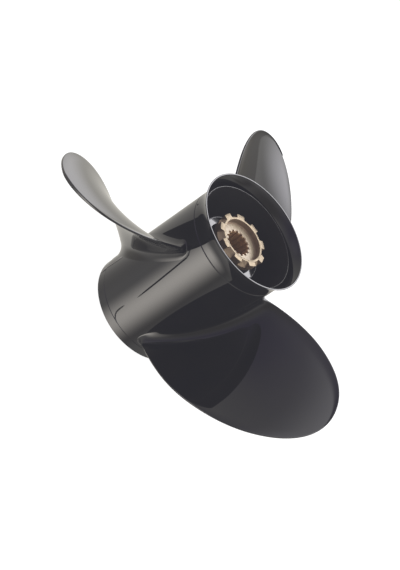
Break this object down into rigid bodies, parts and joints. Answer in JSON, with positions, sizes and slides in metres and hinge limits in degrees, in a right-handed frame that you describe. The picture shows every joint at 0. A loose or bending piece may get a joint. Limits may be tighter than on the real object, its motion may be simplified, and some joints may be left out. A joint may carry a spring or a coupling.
{
  "type": "outboard motor propeller",
  "caption": "Right-hand boat propeller with broad raked blades on a tubular barrel, a flared diffuser ring, an inner hub on ribs, and a bronze splined sleeve in rubber.",
  "frame": {"origin": "on the shaft axis, in the plane of the barrel's forward rim", "axes": "+Z along the shaft axis, pointing aft, out of the flared end; +X through the reference line of blade 1"},
  "size_m": [0.3111, 0.3256, 0.1565],
  "materials": {
    "black_paint": "gloss black enamel on cast aluminium",
    "rubber": "matt black moulded rubber",
    "bronze": "brown cast bronze",
    "machined_bronze": "bright machined bronze"
  },
  "bodies": {
    "root": {"barrel": "black_paint", "front_band": "black_paint", "diffuser_ring": "black_paint", "blade_1": "black_paint", "blade_2": "black_paint", "blade_3": "black_paint", "exhaust_rib_1": "black_paint", "exhaust_rib_2": "black_paint", "exhaust_rib_3": "black_paint", "inner_hub": "black_paint", "rubber_bushing": "rubber", "drive_sleeve": "bronze", "lug_ring": "machined_bronze"}
  },
  "joints": []
}
